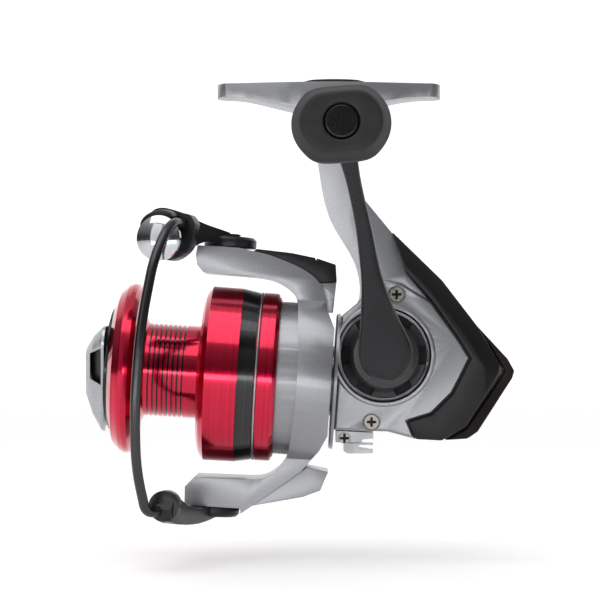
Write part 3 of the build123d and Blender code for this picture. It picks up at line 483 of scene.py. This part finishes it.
ARM_WIDTH = [(-6.7, 0.8), (-6.3, 2.6), (-5.0, 5.0), (-3.0, 6.6), (0.0, 7.3), (4.0, 6.8), (9.0, 5.4), (15.0, 3.9),
             (22.0, 2.75), (34.0, 2.15), (46.0, 1.95), (54.0, 2.6), (58.4, 3.0), (60.4, 2.3), (61.3, 0.6)]
ARM_BOW = [(-7.0, 0.0), (12.0, 0.0), (22.0, 0.4), (34.0, 1.0), (46.0, 0.9), (56.0, 0.7), (63.0, 0.6)]
ARM_INNER = [(-9.0, 31.2), (7.0, 31.9), (15.0, 38.0), (39.0, 46.6), (52.0, 54.4), (63.0, 55.2)]
ARM_OUTER = [(-9.0, 36.6), (3.0, 39.2), (15.0, 45.6), (39.0, 52.8), (51.0, 58.6), (63.0, 60.2)]


def arm_section(reach):
    """Section of the arm square to its length, an ellipse with full sides."""
    width = smooth_through(ARM_WIDTH, reach)
    inner = smooth_through(ARM_INNER, reach)
    outer = smooth_through(ARM_OUTER, reach)
    bow = smooth_through(ARM_BOW, reach)

    def station(spot):
        size = fullness(spot, ARM_FULLNESS)
        return arm_point(bow + width * size * spot.x, reach,
                         (inner + outer) / 2 + (outer - inner) / 2 * size * spot.y)

    return station


ARM_STATIONS = [-6.7, -6.5, -6.2, -5.6] + steps(-5.0, 60.2, 60) + [60.8, 61.3]
drawn_out("crank_arm", 32, [arm_section(reach) for reach in ARM_STATIONS], "handle", "arm_paint", "handle_arm")

KNOB_START = 60.6
KNOB_LEAN = radians(4.4)
KNOB_X = Vector((cos(KNOB_LEAN), 0, sin(KNOB_LEAN)))
KNOB_Z = Vector((-sin(KNOB_LEAN), 0, cos(KNOB_LEAN)))
KNOB_FLATNESS = 10             # more gives the octagon sharper corners
KNOB_SLANT = (0.80, 0.52)      # direction of its slanting sides


def knob_section(distance, half_width, half_height, squareness):
    """Section square to the knob's spindle; squareness 0 is an ellipse and 1 a rounded octagon."""

    def station(spot):
        x, z = spot.x, spot.y
        rise, fall = x * KNOB_SLANT[0] + z * KNOB_SLANT[1], x * KNOB_SLANT[0] - z * KNOB_SLANT[1]
        octagon = sum(abs(side) ** KNOB_FLATNESS for side in (z, x, rise, fall)) ** (-1 / KNOB_FLATNESS)
        size = 1 + (octagon - 1) * squareness
        return Vector((KNOB.x, 0, KNOB.z)) + (NEAR * (KNOB_START + distance) + KNOB_X * half_width * size * x
                                              + KNOB_Z * half_height * size * z) * MM

    return station


KNOB_HALF_WIDTH = [(0.0, 4.75), (4.5, 4.8), (9.0, 6.6), (14.0, 9.7), (19.0, 11.9), (23.4, 12.5)]
KNOB_HALF_HEIGHT = [(0.0, 4.75), (4.5, 4.8), (9.0, 5.7), (14.0, 7.5), (19.0, 9.2), (23.4, 9.3)]
# (distance, half width, half height) round the knob's edge, then (distance, radius) down its cap recess and bore
KNOB_EDGE = [(23.7, 12.45, 9.25), (24.4, 12.1, 8.9), (26.4, 11.3, 8.2), (28.6, 10.4, 7.5), (29.1, 10.1, 7.25),
             (29.4, 9.6, 6.9), (29.5, 9.0, 6.3)]
KNOB_RECESS = [(29.5, 5.2), (29.4, 4.7), (29.1, 4.45), (24.1, 4.4), (24.1, 3.25), (0.0, 3.25)]
ROUND_UNTIL, SQUARE_OVER = 6, 12
knob_sections = [knob_section(0.0, 4.3, 4.3, 0)]
for distance in [0.2, 0.5] + steps(1.2, 23.4, 26):
    squareness = max(0, min(1, (distance - ROUND_UNTIL) / SQUARE_OVER))
    knob_sections.append(knob_section(distance, smooth_through(KNOB_HALF_WIDTH, distance),
                                      smooth_through(KNOB_HALF_HEIGHT, distance), squareness))
for distance, half_width, half_height in KNOB_EDGE:
    knob_sections.append(knob_section(distance, half_width, half_height, 1))
for distance, radius in KNOB_RECESS:
    knob_sections.append(knob_section(distance, radius, radius, 0))
drawn_out("knob_grip", 72, knob_sections, "handle_grip", "soft_grey", "handle_knob", closed_round=True)

# ------------------------------------------------------------------ small turned pieces


def turned(name, start, axis, outline, body, slot, *nodes):
    """Spin a closed outline of (distance along, radius), in millimetres, about an axis."""
    mesh = bmesh.new()
    sideways = axis.orthogonal().normalized()
    corners = [mesh.verts.new(start + (axis * along + sideways * radius) * MM) for along, radius in outline]
    edges = [mesh.edges.new(pair) for pair in zip(corners, corners[1:] + corners[:1])]
    bmesh.ops.spin(mesh, geom=corners + edges, cent=start, axis=axis, angle=2 * pi, steps=96, use_merge=True)
    bmesh.ops.recalc_face_normals(mesh, faces=mesh.faces)
    new_piece(name, mesh, body, slot, *nodes).data.shade_smooth()


BORE_SHADE_OUTLINE = [(10.3, 12.95), (12.6, 12.95), (12.75, 13.1), (12.75, 13.36), (10.3, 13.36)]
BEAD_OUTLINE = [(21.1, 23.4), (21.7, 23.4), (21.7, 24.0), (21.5, 24.25), (21.3, 24.25), (21.1, 24.0)]
gear_axis_start = Vector((HANDLE.x, 0, HANDLE.z))
# Painted shade: a thin black ring lining the bore round the handle collar, which darkens the gap between them.
turned("bore_shade_ring", gear_axis_start, NEAR, BORE_SHADE_OUTLINE, "frame", "black_plastic")
turned("band_bead", SHAFT_START, FORWARD, BEAD_OUTLINE, "spool_set", "shell_silver")


def roller_point(distance, radius, angle):
    """Point round the line roller's axis, the angle from rearward towards up."""
    rearward = ROLLER_AXIS.cross(UPWARD).normalized()
    if rearward.x < 0:
        rearward = -rearward
    raised = ROLLER_AXIS.cross(rearward).normalized()
    if raised.z < 0:
        raised = -raised
    return ROLLER + (ROLLER_AXIS * distance + (rearward * cos(angle) + raised * sin(angle)) * radius) * MM


HOOD_MIDDLE, HOOD_HALF_SPAN = radians(112), radians(46)
HOOD_INNER, HOOD_OUTER = 6.5, 8.3
HOOD_TIP_THINNING = 1.2


def hood_section(distance, thinner):
    """Section of the hood over the line roller: an arc that thins towards its tips."""

    def station(spot):
        along = spot.x                       # -1 at one tip of the arc, 1 at the other
        radius = HOOD_INNER if spot.y < 0 else HOOD_OUTER - thinner - HOOD_TIP_THINNING * along ** 4
        return roller_point(distance, radius, HOOD_MIDDLE + HOOD_HALF_SPAN * along)

    return station


HOOD_STATIONS = [(1.8, 0.0), (3.0, 0.0), (5.0, 0.05), (7.0, 0.15), (8.4, 0.35), (9.0, 0.6), (9.25, 0.95)]
drawn_out("roller_hood", 50, [hood_section(*station) for station in HOOD_STATIONS], "bail", "black_plastic")

pad_low, pad_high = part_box("foot_pad")
pad_middle = (pad_low + pad_high) / 2


PAD_FULLNESS = 2.6


def pad_section(height, half_length, half_width):
    """Level section of the pad in the foot."""

    def station(spot):
        size = fullness(spot, PAD_FULLNESS)
        return Vector((pad_middle.x, pad_middle.y, 0)) + Vector((half_length * size * spot.x,
                                                                 half_width * size * spot.y, height)) * MM

    return station


pad_half_length = (pad_high.x - pad_low.x) / 2 / MM
pad_half_width = (pad_high.y - pad_low.y) / 2 / MM
PAD_STATIONS = [(-0.8, 1.0), (0.1, 1.0), (0.6, 0.985), (1.0, 0.94), (1.3, 0.82), (1.5, 0.58), (1.6, 0.25)]
drawn_out("seat_pad", 64, [pad_section(height, pad_half_length * share, pad_half_width * share)
                           for height, share in PAD_STATIONS], "frame", "tail_plastic", "foot_pad")

# ------------------------------------------------------------------ stage, lights and camera


CENTRE = Vector((-0.005, -0.01, -0.065))
WHITE = (1, 1, 1)
FLOOR_DROP = 0.012


def area_light(name, place, width, height, watts):
    """A soft light aimed at the reel's middle."""
    lamp = bpy.data.lights.new(name, "AREA")
    lamp.shape = "RECTANGLE"
    lamp.size = width
    lamp.size_y = height
    lamp.energy = watts
    holder = bpy.data.objects.new(name, lamp)
    holder.location = place
    holder.rotation_euler = (CENTRE - Vector(place)).to_track_quat("-Z", "Y").to_euler()
    bpy.context.scene.collection.objects.link(holder)


def stage_sheet(name, half_width, half_height, place, turned, finish):
    """A flat part of the stage."""
    mesh = bmesh.new()
    bmesh.ops.create_grid(mesh, x_segments=1, y_segments=1, size=1.0)
    bmesh.ops.scale(mesh, verts=mesh.verts, vec=(half_width, half_height, 1))
    bmesh.ops.rotate(mesh, verts=mesh.verts, matrix=Matrix.Rotation(turned, 3, "X"))
    bmesh.ops.translate(mesh, verts=mesh.verts, vec=place)
    data = bpy.data.meshes.new(name)
    mesh.to_mesh(data)
    mesh.free()
    sheet = bpy.data.objects.new(name, data)
    bpy.context.scene.collection.objects.link(sheet)
    sheet.data.materials.append(finish.material)


stage_sheet("floor", 3.0, 3.0, (0, 0, cad_box[0][2] - FLOOR_DROP), 0,
            Finish("floor", Base_Color=(0.80, 0.80, 0.80), Roughness=0.8, Emission_Color=WHITE,
                   Emission_Strength=0.35))
stage_sheet("backdrop", 3.0, 2.0, (0, 1.5, 0), pi / 2,
            Finish("backdrop", Base_Color=(0.8, 0.8, 0.8), Emission_Color=WHITE, Emission_Strength=0.6))

world = bpy.data.worlds.new("studio")
world.use_nodes = True
sky = Nodes(world.node_tree)
SKY_STOPS = [(0.0, (0.5, 0.5, 0.5)), (0.56, (0.06, 0.06, 0.06)), (0.75, (0.35, 0.35, 0.35)), (1.0, WHITE)]
facing = sky.node("ShaderNodeTexCoord", output="Generated")
height = sky.node("ShaderNodeSeparateXYZ", None, {0: facing}, "Z")
lift = sky.node("ShaderNodeMapRange", None, {0: height, 1: -1.0})
shade = sky.node("ShaderNodeValToRGB", {"stops": SKY_STOPS}, {0: lift})
background = sky.tree.nodes["Background"]
sky.put(background.inputs["Color"], shade)
sky.put(background.inputs["Strength"], 0.8)
bpy.context.scene.world = world
area_light("overhead", (-0.15, -0.25, 0.60), 0.8, 0.6, 2.6)
area_light("front", (-0.50, -0.70, 0.20), 0.4, 0.8, 0.95)
area_light("low", (-0.1, -0.45, -0.11), 0.6, 0.05, 0.5)

VIEW_DISTANCE = 0.55
MIDDLE = Vector((-0.0026, 0, -0.0736))
camera_data = bpy.data.cameras.new("camera")
camera_data.sensor_width = 36.0
camera_data.lens = 114.6
camera_data.shift_x = -0.033
camera_data.shift_y = 0.0687
camera_data.clip_start = 0.01
camera = bpy.data.objects.new("camera", camera_data)
camera.location = MIDDLE - Vector((0, VIEW_DISTANCE, 0))
camera.rotation_euler = (pi / 2, 0, 0)
bpy.context.scene.collection.objects.link(camera)
bpy.context.scene.camera = camera
bpy.context.scene.view_settings.view_transform = "Standard"
